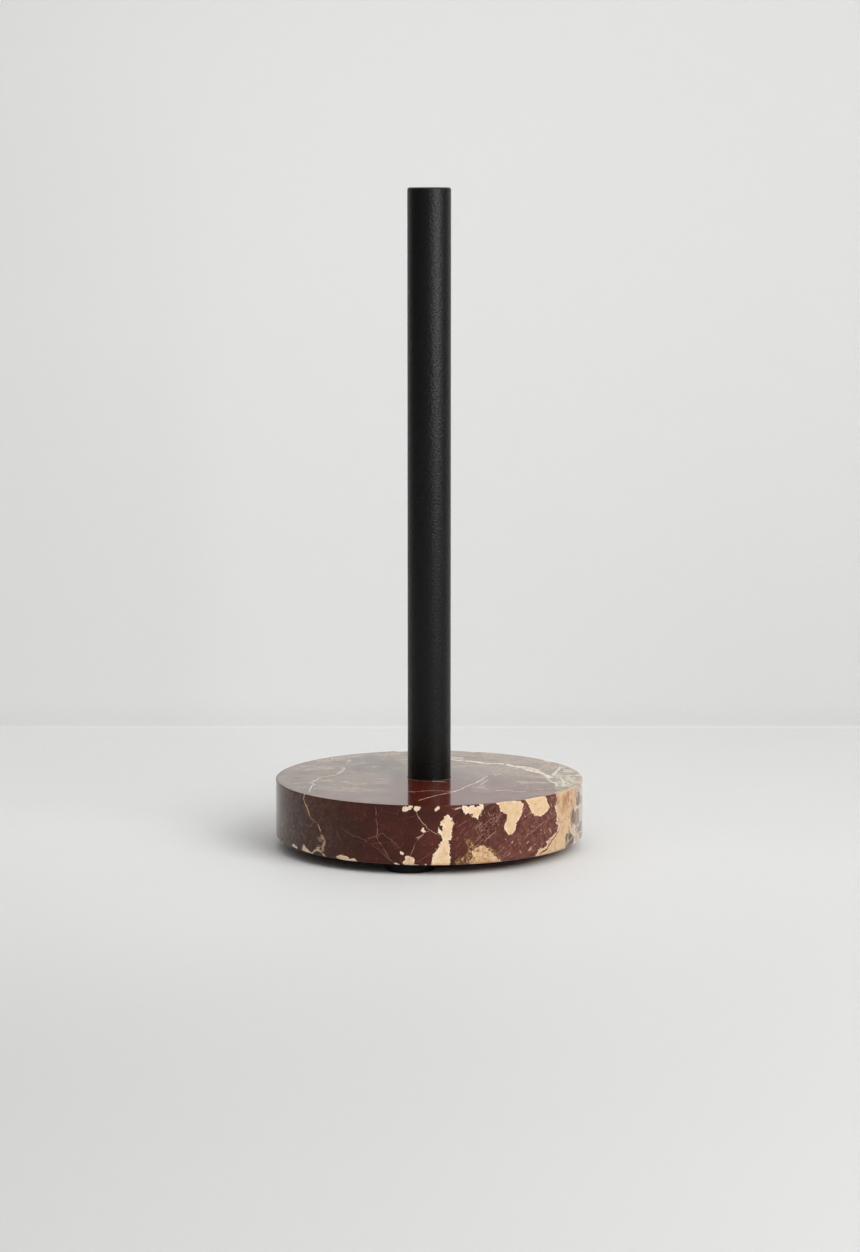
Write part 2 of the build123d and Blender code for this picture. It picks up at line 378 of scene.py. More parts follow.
# Veins on the top face: millimetres to the right and to the back
TOP_VEINS = [
    ([(-62.0, -47.0), (-60.4, -45.4), (-58.2, -40.7), (-57.7, -27.5), (-56.4, -20.9), (-58.3, -15.5),
      (-55.0, -6.0), (-52.7, -0.5), (-50.0, 0.9), (-47.8, 3.6), (-45.0, 7.8), (-43.4, 16.1),
      (-42.6, 24.0)], 0.32, 0.9, 0.0),
    ([(-43.2, 18.0), (-42.6, 33.1), (-40.0, 49.0)], 0.6, 0.5, 0.1),
    ([(-70.6, -21.4), (-65.8, -18.2), (-61.6, -14.1), (-57.4, -15.8)], 0.5, 0.35, 0.0),
    ([(-5.4, -63.0), (-1.0, -56.3), (4.3, -48.5), (9.6, -43.3), (14.0, -36.8), (18.5, -24.9),
      (22.5, -16.8), (26.1, -7.3), (29.6, 4.6)], 0.38, 0.95, 0.0),
    ([(25.0, -22.0), (27.2, -15.5), (28.8, -7.6)], 0.4, 0.7, 0.0),
    ([(32.3, 2.8), (36.9, 11.9), (41.5, 18.9), (45.8, 27.0)], 0.45, 0.4, 0.0),
    ([(31.6, -37.2), (36.8, -35.5), (39.2, -36.8), (42.5, -39.4), (47.9, -39.4)], 0.55, 0.6, 0.0),
    ([(-13.0, -37.4), (-10.7, -38.6), (-7.8, -40.7), (-4.0, -38.6), (0.9, -36.8),
      (12.0, -38.7)], 0.35, 0.6, 0.0),
    ([(-7.0, 51.5), (2.0, 50.0), (11.1, 49.0), (14.2, 46.9), (17.2, 45.2), (23.3, 43.2), (27.3, 38.3),
      (33.4, 37.4), (38.4, 36.0), (43.3, 28.8), (46.3, 27.4), (49.6, 18.9), (52.9, 14.7), (56.3, 10.5),
      (58.5, 2.2), (60.1, -4.6)], 1.5, 1.0, 0.0),
    ([(8.0, 57.9), (11.2, 56.3), (14.2, 54.8), (18.6, 52.7)], 1.3, 0.8, 0.1),
    ([(42.4, 30.6), (48.3, 28.8), (52.2, 23.2), (56.2, 16.3)], 1.1, 0.8, 0.0),
    ([(58.4, -10.4), (61.5, 2.2), (64.1, 5.0), (66.6, 1.2)], 0.6, 0.8, 0.0),
    ([(59.1, -10.0), (62.2, -18.2), (62.6, -26.6)], 0.7, 0.8, 0.0),
    ([(61.2, 3.5), (64.0, 16.1), (66.4, 28.4)], 0.8, 0.9, 0.0),
    ([(65.0, -1.6), (66.3, -14.1), (65.6, -24.2)], 0.7, 0.8, 0.0),
    ([(-60.0, 38.0), (-55.0, 44.0), (-49.5, 49.8), (-42.6, 55.6), (-35.0, 60.4), (-28.0, 63.6),
      (-14.0, 68.0)], 5.2, 0.3, 0.0),
    ([(-62.0, 20.0), (-52.0, 27.0), (-40.0, 33.0), (-30.0, 42.0)], 3.4, 0.22, 0.1),
    ([(-51.0, -32.0), (-46.6, -29.0)], 0.7, -0.6, 0.0),
    ([(-44.0, -31.8), (-37.0, -29.9)], 0.7, -0.5, 0.0),
    ([(-21.4, -35.2), (-13.4, -37.1)], 0.7, -0.45, 0.0),
    ([(-26.9, -63.5), (-23.2, -57.8)], 0.7, -0.6, 0.0),
    ([(-29.0, -20.6), (-26.6, -14.3)], 0.7, -0.35, 0.0),
    ([(28.0, 3.6), (31.0, 5.0)], 0.8, -0.8, 0.0),
    ([(0.8, -11.3), (3.6, -12.3), (6.9, -13.4), (9.1, -15.8)], 0.5, 0.7, 0.0),
    ([(-18.0, 22.0), (-6.0, 30.0), (4.0, 27.0), (16.0, 33.0)], 0.3, 0.4, 0.0),
]

# Spread, wander and fade of the markings: millimetres, or metres where MM is named
STONE_SEED = 11
BACK_PATCHES = 15
BACK_SPAN = (158, 320)
BACK_CORNERS = 9
FLAKE_REACH = 0.7
FLAKE_DEPTH = 0.45
FIELD_REACH = 6.0
VEIN_REACH = 24.0
VEIN_END_FADE = 1.5
VEIN_SIDE_FADE = 2.2
VEIN_FULL_TO = 6.0
VEIN_GONE_AT = 9.0
VEIN_WANDER = 0.22
TOP_STARTS = -0.5
LICKS_ALONG = 85
LICKS_LENGTH = 17
LICKS_BELOW = 3.5
LICKS_HEIGHT = 10
INLAND_REACH = 10
SEAT_CRUMBS = 1.4 * MM
SEAT_CRUMBS_FADE = 0.7 * MM
FULL_CHIP = 0.12 * MM


def inside_distance(points, outline):
    """Signed distance from each point to a closed outline, positive inside.

    Its size is the least distance to any edge, found by dropping the point on the edge and clipping to its
    ends. A point is inside when a ray to the right of it crosses an odd number of edges.
    """
    outline = np.array(outline)
    nearest = np.full(len(points), np.inf)
    inside = np.zeros(len(points), bool)
    for start, end in zip(outline, np.roll(outline, -1, axis=0)):
        edge = end - start
        share = np.clip((points - start) @ edge / (edge @ edge), 0, 1)
        nearest = np.minimum(nearest, np.linalg.norm(points - start - share[:, None] * edge, axis=1))
        crosses = (start[1] > points[:, 1]) != (end[1] > points[:, 1])
        rise = end[1] - start[1] if end[1] != start[1] else 1.0
        inside ^= crosses & (points[:, 0] < start[0] + edge[0] * (points[:, 1] - start[1]) / rise)
    return np.where(inside, nearest, -nearest)


def patch_field(points, outlines):
    """Greatest signed distance to a set of outlines, held within the field's reach."""
    field = np.full(len(points), -FIELD_REACH)
    for outline in outlines:
        low = np.min(outline, axis=0) - FIELD_REACH
        high = np.max(outline, axis=0) + FIELD_REACH
        near = np.all((points > low) & (points < high), axis=1)
        field[near] = np.maximum(field[near], inside_distance(points[near], outline))
    return np.clip(field, -FIELD_REACH, FIELD_REACH)


def vein_field(points, veins):
    """Signed distance to the nearest vein in half-widths, how strongly it shows there, and its share of gold.

    The distance is to the nearest of its straight runs, with the sign of the side that the point lies on.
    The strength fades out towards both ends of a vein and a few millimetres away from it.
    """
    side = np.full(len(points), VEIN_REACH)
    show = np.zeros(len(points))
    gold = np.zeros(len(points))
    for line, half_width, strength, golden in veins:
        line = np.array(line)
        runs = np.diff(line, axis=0)
        lengths = np.linalg.norm(runs, axis=1)
        starts = np.concatenate([[0], np.cumsum(lengths)])
        nearest = np.full(len(points), np.inf)
        sign = np.ones(len(points))
        along = np.zeros(len(points))
        for start, run, length, passed in zip(line, runs, lengths, starts):
            offset = points - start
            share = np.clip(offset @ run / length**2, 0, 1)
            distance = np.linalg.norm(offset - share[:, None] * run, axis=1)
            closer = distance < nearest
            nearest = np.where(closer, distance, nearest)
            cross = run[0] * offset[:, 1] - run[1] * offset[:, 0]
            sign = np.where(closer, np.where(cross < 0, -1.0, 1.0), sign)
            along = np.where(closer, passed + share * length, along)
        scaled = np.clip(nearest / half_width, 0, VEIN_REACH)
        better = scaled < np.abs(side)
        end_fade = np.clip(np.minimum(along, starts[-1] - along) / VEIN_END_FADE, 0, 1)
        side_fade = np.clip((half_width + VEIN_SIDE_FADE - nearest) / (VEIN_SIDE_FADE / 2), 0, 1)
        near_fade = np.clip((VEIN_GONE_AT - scaled) / (VEIN_GONE_AT - VEIN_FULL_TO), 0, 1)
        side = np.where(better, sign * scaled, side)
        show = np.where(better, strength * end_fade * np.minimum(side_fade, near_fade), show)
        gold = np.where(better, golden, gold)
    return side, show, gold


def wandered(points, reach):
    """Points moved by sums of three sines of their own place, so that straight runs waver."""
    x, y = points.T
    shift_x = np.sin(0.61 * y + 0.37 * x) + 0.6 * np.sin(1.37 * y - 0.9 * x + 1.1)
    shift_x += 0.4 * np.sin(2.9 * y + 2.1)
    shift_y = np.sin(0.53 * x - 0.41 * y + 0.7) + 0.6 * np.sin(1.19 * x + 1.1 * y)
    shift_y += 0.4 * np.sin(2.7 * x + 0.4)
    return points + reach * np.stack([shift_x, shift_y], axis=1)


def back_patches(random):
    """Angular patches for the side that faces away: points at random distances round a middle."""
    outlines = []
    way_round = TURN * BASE_RADIUS / MM
    for middle in np.linspace(*BACK_SPAN, BACK_PATCHES):
        along = middle + random.uniform(-4, 4)
        down = random.choice([random.uniform(0, 4), random.uniform(8, 20), random.uniform(25, 30)])
        size = random.uniform(1.5, 6.5)
        angles = np.sort(random.uniform(0, TURN, BACK_CORNERS))
        reach = size * random.uniform(0.55, 1.25, BACK_CORNERS)
        if along > way_round / 2:
            along -= way_round
        across = along + 1.2 * reach * np.cos(angles)
        outlines.append(np.stack([across, down + reach * np.sin(angles)], axis=1))
    return outlines


def bump(value, middle, half_width):
    """One at the middle, falling with the square of the distance to zero at half a width."""
    return np.clip(1 - ((value - middle) / half_width) ** 2, 0, 1)


def chip_edges(grid, down, edges, random):
    """Small flakes broken from an edge: near each one the stone is pushed in along the edge's inward slant.

    The push is the flake's depth, times one minus the square of the distance along the edge over its half
    length, times one minus the distance across the edge over its reach. Returns how deep each point went.
    """
    depth = np.zeros(grid.shape[:2])
    angle = np.arctan2(grid[..., 0], -grid[..., 1])
    radius = np.hypot(grid[..., 0], grid[..., 1])
    for place, edge_radius, radial, upward, count, longest in edges:
        middles = random.uniform(-np.pi, np.pi, count)
        lengths = longest * random.uniform(0.25, 1.0, count) ** 2
        across = np.abs(down - place)[:, None]
        for middle, length in zip(middles, lengths):
            around = np.abs((angle - middle + np.pi) % TURN - np.pi) * edge_radius
            flake = bump(around, 0, length) * np.clip(1 - across / (FLAKE_REACH * length), 0, 1)
            push = FLAKE_DEPTH * length * flake * random.uniform(0.85, 1.15, flake.shape)
            new_radius = radius + push * radial
            scale = new_radius / radius
            grid[..., 0] *= scale
            grid[..., 1] *= scale
            grid[..., 2] += push * upward
            radius = new_radius
            depth = np.maximum(depth, push)
    return depth


def marble_base():
    """Turned stone: top face, rim, underside, bolt recess, bolt hole and post seat in one closed line.

    The line is turned about the post's axis, its edges are chipped a little, and each point carries its
    distances to the patches, zones and veins drawn above.
    """
    random = np.random.default_rng(STONE_SEED)
    line = profile_line(
        [
            (SEAT_LIP_RADIUS, BASE_TOP, SEAT_LIP_ROUND, 1.6 * MM),
            (BASE_RADIUS, BASE_TOP, BASE_TOP_ROUND, 0.6 * MM),
            (BASE_RADIUS, BASE_BOTTOM, BASE_LOWER_ROUND, 8.0 * MM),
            (RECESS_RADIUS, BASE_BOTTOM, RECESS_EDGE_ROUND, 4.0 * MM),
            (RECESS_RADIUS, RECESS_FLOOR, 0.0, 6.0 * MM),
            (BOLT_HOLE_RADIUS, RECESS_FLOOR, 0.0, 7.0 * MM),
            (BOLT_HOLE_RADIUS, SEAT_FLOOR, 0.0, 6.0 * MM),
            (SEAT_LIP_RADIUS, SEAT_FLOOR, 0.0, 4.0 * MM),
        ],
        closed=True,
    )
    passed = np.concatenate([[0], np.cumsum(np.linalg.norm(np.diff(line, axis=0), axis=1))])
    down = passed - passed[np.argmax(line.sum(axis=1))]
    lower_edge = BASE_TOP - BASE_BOTTOM - BASE_LOWER_ROUND + BASE_LOWER_ROUND * np.pi / 4
    sole = lower_edge + BASE_LOWER_ROUND * np.pi / 4
    recess = sole + BASE_RADIUS - BASE_LOWER_ROUND - RECESS_RADIUS
    grid = turned_grid(line, STONE_COLUMNS, crowding=FRONT_CROWDING)
    angle = np.arctan2(grid[..., 0], -grid[..., 1])
    radius = np.hypot(grid[..., 0], grid[..., 1])
    along = angle * BASE_RADIUS / MM
    below = np.broadcast_to(down[:, None] / MM, along.shape)
    rim_points = np.stack([along.ravel(), below.ravel()], axis=1)
    top_points = grid[..., :2].reshape(-1, 2) / MM
    on_top = (below < TOP_STARTS).ravel()
    cream = patch_field(rim_points, CREAM_PATCHES + back_patches(random))
    cream = np.maximum(cream, CHIP_CRISPNESS * patch_field(rim_points, CREAM_CHIPS))
    tan = patch_field(rim_points, TAN_PATCHES)
    rim_vein = vein_field(wandered(rim_points, VEIN_WANDER), RIM_VEINS)
    top_vein = vein_field(wandered(top_points, VEIN_WANDER), TOP_VEINS)
    chips = chip_edges(
        grid,
        down,
        [
            (0.0, BASE_RADIUS, -0.6, -0.6, 14, 1.0 * MM),
            (lower_edge, BASE_RADIUS, -0.7, 0.5, 34, 1.3 * MM),
            (down[0], SEAT_LIP_RADIUS, 0.5, -0.5, 44, 0.8 * MM),
            (recess, RECESS_RADIUS, 0.6, 0.6, 30, 1.6 * MM),
        ],
        random,
    )
    stone = grid_object("stone_base", grid, closed_rows=True)
    numbers = {
        "cream": np.maximum(cream, tan),
        "tan": tan,
        "olive": patch_field(rim_points, OLIVE_ZONES),
        "shattered": patch_field(rim_points, SHATTERED_ZONES),
        "grey": patch_field(rim_points, GREY_BLOTCHES),
        "vein": np.where(on_top, top_vein[0], rim_vein[0]),
        "vein_strength": np.where(on_top, top_vein[1], rim_vein[1]),
        "vein_gold": np.where(on_top, top_vein[2], rim_vein[2]),
        "rust_licks": bump(along, LICKS_ALONG, LICKS_LENGTH) * bump(below, LICKS_BELOW, LICKS_HEIGHT),
        "inland": np.clip(-below / INLAND_REACH, 0, 1),
        "seat_edge": np.clip((SEAT_LIP_RADIUS + SEAT_CRUMBS - radius) / SEAT_CRUMBS_FADE, 0, 1),
        "chip": np.clip(chips / FULL_CHIP, 0, 1),
        "top": np.clip((-below - 0.2) / 0.6, 0, 1),
        "sawn": np.clip((below - sole / MM - 0.3) / 0.5, 0, 1),
    }
    for name, values in numbers.items():
        carry(stone, name, values)
    return stone


def post_tube():
    """Turned tube: coated outside, foot edge, bore and top edge in one closed line about the axis."""
    corners = [
        (POST_RADIUS, tube_high.z, 0.0, 12 * MM),
        (POST_RADIUS, tube_low.z, TUBE_FOOT_CUT, 2 * MM),
        (TUBE_BORE_RADIUS, tube_low.z, TUBE_BORE_ROUND, 20 * MM),
        (TUBE_BORE_RADIUS, tube_high.z, 0.0, 2 * MM),
    ]
    return turned_piece("coated_post", corners, POST_COLUMNS)


def top_cap():
    """Turned cap: a head with a rounded rim, very slightly domed, on a spigot that sits in the tube."""
    corners = [
        (CAP_MIDDLE, cap_low.z, 0.0, 2 * MM),
        (TUBE_FIT_RADIUS, cap_low.z, CAP_SPIGOT_CUT, 2 * MM),
        (TUBE_FIT_RADIUS, tube_high.z, 0.0, 1 * MM),
        (POST_RADIUS, tube_high.z, 0.0, 1 * MM),
        (POST_RADIUS, cap_high.z - CAP_DOME, CAP_RIM_ROUND, 1.5 * MM),
        (CAP_MIDDLE, cap_high.z, 0.0, 1 * MM),
    ]
    return turned_piece("coated_cap", corners, POST_COLUMNS, closed=False)


def threaded_plug():
    """Turned plug with a thread in its bore, whose radius follows a triangle wave of height and angle."""
    corners = [
        (TAPPED_RADIUS, plug_high.z, 0.0, 2 * MM),
        (TUBE_FIT_RADIUS, plug_high.z, PLUG_EDGE_ROUND, 3 * MM),
        (TUBE_FIT_RADIUS, plug_low.z, PLUG_EDGE_ROUND, 2 * MM),
        (TAPPED_RADIUS, plug_low.z, 0.0, THREAD_PITCH / 8),
    ]
    grid = turned_grid(profile_line(corners, closed=True), SMALL_COLUMNS)
    height = grid[..., 2]
    angle = np.arctan2(grid[..., 0], -grid[..., 1])
    bore = np.hypot(grid[..., 0], grid[..., 1]) < TAPPED_RADIUS + BORE_MARGIN
    turn = (height / THREAD_PITCH - angle / TURN) % 1
    ends = np.clip(np.minimum(height - plug_low.z, plug_high.z - height) / PLUG_THREAD_FADE, 0, 1)
    cut = PLUG_THREAD_DEPTH * (1 - np.abs(2 * turn - 1)) * ends * bore
    grid[..., :2] *= (1 + cut / TAPPED_RADIUS)[..., None]
    return grid_object("tapped_plug", grid, closed_rows=True)


def clamp_bolt():
    """Hexagon head and threaded shank on one grid of height rows and angle columns.

    The head's radius is its flats' radius over the cosine of the angle from the nearest flat, cut by a cone
    of 30 degrees at its lower face. The shank's radius is the outer radius less a rounded triangle wave of
    height over pitch less angle over a full turn, which is a right-hand helix.
    """
    angle = np.linspace(-np.pi, np.pi, SMALL_COLUMNS, endpoint=False)
    sixth = TURN / 6
    from_flat = (angle + sixth / 2) % sixth - sixth / 2
    hexagon = HEAD_FLATS_RADIUS / np.cos(from_flat)
    face_radius = HEAD_FLATS_RADIUS - HEAD_BEVEL
    bevel_rise = (hexagon - face_radius) * np.tan(HEAD_BEVEL_ANGLE)
    head_top = bolt_low.z + HEAD_HEIGHT
    height = np.arange(head_top + SHANK_START, bolt_high.z, THREAD_PITCH / 10)[:, None]
    turn = (height / THREAD_PITCH - angle / TURN) % 1
    wave = np.clip(1.25 * np.abs(2 * turn - 1) - 0.1, 0, 1)
    run_in = np.clip((height - head_top - PLAIN_SHANK) / THREAD_PITCH, 0, 1)
    point = np.clip((height - bolt_high.z + BOLT_TIP_CUT) / BOLT_TIP_CUT, 0, 1)
    shank = SHANK_RADIUS - BOLT_THREAD_DEPTH * wave * run_in * (1 - point) - BOLT_TIP_CUT * point
    rows = [
        (DISC_MIDDLE, bolt_low.z),
        *[(share * face_radius, bolt_low.z) for share in HEAD_FACE_HOLDS],
        (face_radius, bolt_low.z),
        (hexagon, bolt_low.z + bevel_rise),
        (hexagon, head_top - HEAD_EDGE),
        (hexagon - HEAD_EDGE, head_top),
        (SHANK_FOOT * SHANK_RADIUS, head_top),
        *zip(shank, height),
        (BOLT_POINT * SHANK_RADIUS, bolt_high.z),
    ]
    r = np.array([np.broadcast_to(row[0], angle.shape) for row in rows])
    z = np.array([np.broadcast_to(row[1], angle.shape) for row in rows])
    return grid_object("hexagon_bolt", round_axis(r, angle, z), closed_rows=False)


def washer_corners(outer, low, high, rounding):
    """Corners round a washer's section, all rounded alike."""
    return [
        (WASHER_BORE_RADIUS, low.z, rounding, 2 * MM),
        (outer, low.z, rounding, 2 * MM),
        (outer, high.z, rounding, 2 * MM),
        (WASHER_BORE_RADIUS, high.z, rounding, 2 * MM),
    ]


def lock_washer():
    """Split ring: its section is carried round the axis from one side of the gap to the other.

    The angle at which a point of the section stands is shifted by its height times the slant of the gap.
    """
    section = profile_line(washer_corners(LOCK_RADIUS, lock_low, lock_high, STEEL_EDGE_ROUND), closed=True)
    r, z = section.T
    half_gap = LOCK_GAP / 2 / r.mean()
    slant = np.tan(LOCK_SLANT) / r.mean()
    path = np.linspace(half_gap, TURN - half_gap, SMALL_COLUMNS)[:, None]
    angle = np.pi / 2 + path - (z - z.mean()) * slant
    return grid_object("spring_washer", round_axis(r, angle, z), closed_rows=False)


def flat_washer():
    """Turned steel ring with softened edges."""
    corners = washer_corners(flat_high.x, flat_low, flat_high, STEEL_EDGE_ROUND)
    return turned_piece("wide_washer", corners, SMALL_COLUMNS)


def cushion_washer():
    """Turned rubber ring with soft edges."""
    corners = washer_corners(cushion_high.x, cushion_low, cushion_high, CUSHION_EDGE_ROUND)
    return turned_piece("rubber_washer", corners, SMALL_COLUMNS)


def disc_size(node):
    """Lower height, upper height, radius and centre of a round node that stands beside the axis."""
    low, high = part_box(node)
    centre = ((low.x + high.x) / 2, (low.y + high.y) / 2)
    return low.z, high.z, (high.x - low.x) / 2, centre


def rubber_foot(name):
    """Turned bumper: a flat top, tapered side, rounded lower edge and a shallow moulded dish underneath."""
    low, high, radius, centre = disc_size("rubber_foot_" + name)
    corners = [
        (DISC_MIDDLE, low + FOOT_DISH_DEPTH, 0.0, 2 * MM),
        (FOOT_DISH_FLOOR * radius, low + FOOT_DISH_DEPTH, FOOT_DISH_ROUND, 0.5 * MM),
        (FOOT_DISH_RIM * radius, low, FOOT_DISH_ROUND, 1 * MM),
        (radius - FOOT_TAPER, low, FOOT_ROUND, 0.8 * MM),
        (radius, high, FOOT_TOP_ROUND, 2 * MM),
        (DISC_MIDDLE, high, 0.0, 2 * MM),
    ]
    return turned_piece("rubber_bumper_" + name, corners, SMALL_COLUMNS, False, centre)


def adhesive_disc(name):
    """Turned thin disc with a slightly squeezed-out edge."""
    low, high, radius, centre = disc_size("adhesive_disc_" + name)
    corners = [
        (DISC_MIDDLE, low, 0.0, 3 * MM),
        (radius - PAD_BULGE, low, PAD_EDGE_ROUND, 1 * MM),
        (radius, (low + high) / 2, 2 * PAD_EDGE_ROUND, 1 * MM),
        (radius - PAD_BULGE, high, PAD_EDGE_ROUND, 3 * MM),
        (DISC_MIDDLE, high, 0.0, 3 * MM),
    ]
    return turned_piece("adhesive_pad_" + name, corners, SMALL_COLUMNS, False, centre)


GLAZE_IOR = 1.5


def tone(red, green, blue):
    """Linear colour from the 0 to 255 values that a colour picker shows."""
    share = np.array([red, green, blue]) / 255
    linear = np.where(share <= 0.04045, share / 12.92, ((share + 0.055) / 1.055) ** 2.4)
    return (*linear.tolist(), 1.0)


class Finish:
    """One procedural material, with short calls for the kinds of node used here.

    Colours are given as the 0 to 255 values that a colour picker shows.
    """

    def __init__(self, name):
        self.material = bpy.data.materials.new(name)
        self.material.use_nodes = True
        self.tree = self.material.node_tree
        self.shader = self.tree.nodes["Principled BSDF"]
        self.place = self.add("TexCoord", "Object", {})
        split = self.tree.nodes.new("ShaderNodeSeparateXYZ")
        self.feed(split.inputs["Vector"], self.place)
        self.x, self.y, self.z = split.outputs

    def feed(self, socket, value):
        """Links a socket to another node's output, or sets it to a plain value."""
        if isinstance(value, bpy.types.NodeSocket):
            self.tree.links.new(value, socket)
        else:
            socket.default_value = value

    def add(self, kind, output, inputs, **settings):
        """New node of a kind, with its settings made and its inputs fed; hands back one output."""
        node = self.tree.nodes.new("ShaderNode" + kind)
        for name, value in settings.items():
            setattr(node, name, value)
        for name, value in inputs.items():
            self.feed(node.inputs[name], value)
        return node.outputs[output]

    def calculate(self, operation, *values):
        """Result of a sum or other operation on plain values and patterns."""
        return self.add("Math", "Value", dict(enumerate(values)), operation=operation)

    def times(self, first, *others):
        """Product of patterns."""
        for other in others:
            first = self.calculate("MULTIPLY", first, other)
        return first

    def plus(self, first, second):
        """Sum of two patterns."""
        return self.calculate("ADD", first, second)

    def greater(self, first, second):
        """The greater of two patterns."""
        return self.calculate("MAXIMUM", first, second)

    def centred(self, value, spread):
        """A 0 to 1 pattern as a swing about zero."""
        return self.calculate("MULTIPLY_ADD", value, spread, -spread / 2)

    def step(self, value, low, high):
        """Smooth step from 0 at low to 1 at high."""
        inputs = {"Value": value, "From Min": low, "From Max": high}
        return self.add("MapRange", "Result", inputs, interpolation_type="SMOOTHSTEP")

    def noise(self, feature, detail=3.0, roughness=0.55, distortion=0.0, where=None):
        """Noise whose features are about this many metres across."""
        inputs = {
            "Vector": where or self.place,
            "Scale": 1 / feature,
            "Detail": detail,
            "Roughness": roughness,
            "Distortion": distortion,
        }
        return self.add("TexNoise", "Fac", inputs)

    def spots(self, feature, low, high, **settings):
        """Noise cut to soft spots, from none where it is at low to full where it is at high."""
        return self.step(self.noise(feature, **settings), low, high)

    def cells(self, feature, measure, where=None):
        """Cell pattern: the distance to the cell's edge, or to its middle, in cell widths."""
        inputs = {"Vector": where or self.place, "Scale": 1 / feature}
        return self.add("TexVoronoi", "Distance", inputs, feature=measure)

    def crystals(self, feature, where=None):
        """Random number from 0 to 1 that is the same all over each cell of a broken pattern."""
        colour = self.add("TexVoronoi", "Color", {"Vector": where or self.place, "Scale": 1 / feature})
        return self.add("SeparateColor", "Red", {"Color": colour})

    def stretched(self, x, y, z):
        """Object coordinates scaled along each axis."""
        return self.add("Mapping", "Vector", {"Vector": self.place, "Scale": (x, y, z)})

    def slanted(self, rise, turn, length):
        """Object coordinates drawn out along a line that climbs by rise and turns by turn, in radians."""
        inputs = {"Vector": self.place, "Rotation": (0.0, -rise, turn), "Scale": (length, 1.0, 1.0)}
        return self.add("Mapping", "Vector", inputs, vector_type="TEXTURE")

    def warped(self, feature, reach, where=None):
        """Coordinates pushed about by noise, by up to half of reach."""
        start = where or self.place
        push = self.add("TexNoise", "Color", {"Vector": start, "Scale": 1 / feature, "Detail": 3.0})
        inputs = {0: push, 1: (reach, reach, reach), 2: start}
        return self.add("VectorMath", "Vector", inputs, operation="MULTIPLY_ADD")

    def carried(self, name):
        """A number that the mesh carries."""
        return self.add("Attribute", "Fac", {}, attribute_name=name)

    def mix(self, factor, first, second):
        """Colour between two colours."""
        first, second = [tone(*side) if isinstance(side, tuple) else side for side in (first, second)]
        return self.add("Mix", 2, {0: factor, 6: first, 7: second}, data_type="RGBA")

    def tint(self, colour, other, share, *masks):
        """A colour with a share of another where all the masks show."""
        return self.mix(self.times(*masks, share), colour, other)

    def ramp(self, value, *stops):
        """Colours along a value, each stop a place and a colour."""
        node = self.tree.nodes.new("ShaderNodeValToRGB")
        self.feed(node.inputs["Fac"], value)
        elements = node.color_ramp.elements
        while len(elements) < len(stops):
            elements.new(0.5)
        for element, (place, colour) in zip(elements, stops):
            element.position = place
            element.color = tone(*colour)
        return node.outputs["Color"]

    def relief(self, height, depth, strength=1.0):
        """Bump of this many metres for a height pattern from 0 to 1."""
        inputs = {"Strength": strength, "Distance": depth, "Height": height}
        self.feed(self.shader.inputs["Normal"], self.add("Bump", "Normal", inputs))

    def surface(self, colour, roughness, metallic=0.0, specular=0.5):
        """Sets the shader's main inputs and hands back the material."""
        self.feed(self.shader.inputs["Base Color"], colour)
        self.feed(self.shader.inputs["Roughness"], roughness)
        self.shader.inputs["Metallic"].default_value = metallic
        self.shader.inputs["Specular IOR Level"].default_value = specular
        self.shader.inputs["IOR"].default_value = GLAZE_IOR
        return self.material


def stone_body(f, cloud, fine, grain):
    """Clouded ground of the stone: dark red in front, greyed to the left, rosy to the right."""
    body = f.ramp(cloud, (0.32, (49, 18, 11)), (0.5, (68, 27, 18)), (0.68, (87, 38, 29)))
    leftness = f.step(f.plus(f.x, f.centred(cloud, 50 * MM)), -30 * MM, -72 * MM)
    greyed = f.ramp(fine, (0.34, (52, 33, 24)), (0.54, (82, 57, 42)), (0.7, (124, 97, 74)))
    smoke = f.spots(7 * MM, 0.5, 0.66, detail=4, distortion=0.5)
    greyed = f.tint(greyed, (84, 72, 72), 0.45, smoke)
    body = f.tint(body, greyed, 0.88, leftness)
    rightness = f.step(f.plus(f.x, f.centred(cloud, 40 * MM)), 4 * MM, 46 * MM)
    rosy = f.ramp(fine, (0.34, (92, 48, 40)), (0.54, (113, 65, 54)), (0.74, (136, 86, 73)))
    body = f.tint(body, rosy, 0.85, rightness)
    body = f.tint(body, (128, 76, 64), 0.8, f.step(grain, 0.58, 0.85))
    dark_hair = f.step(f.cells(6 * MM, "DISTANCE_TO_EDGE", f.warped(3 * MM, 3 * MM)), 0.05, 0.01)
    return f.tint(body, (44, 18, 14), 0.4, dark_hair, rightness)


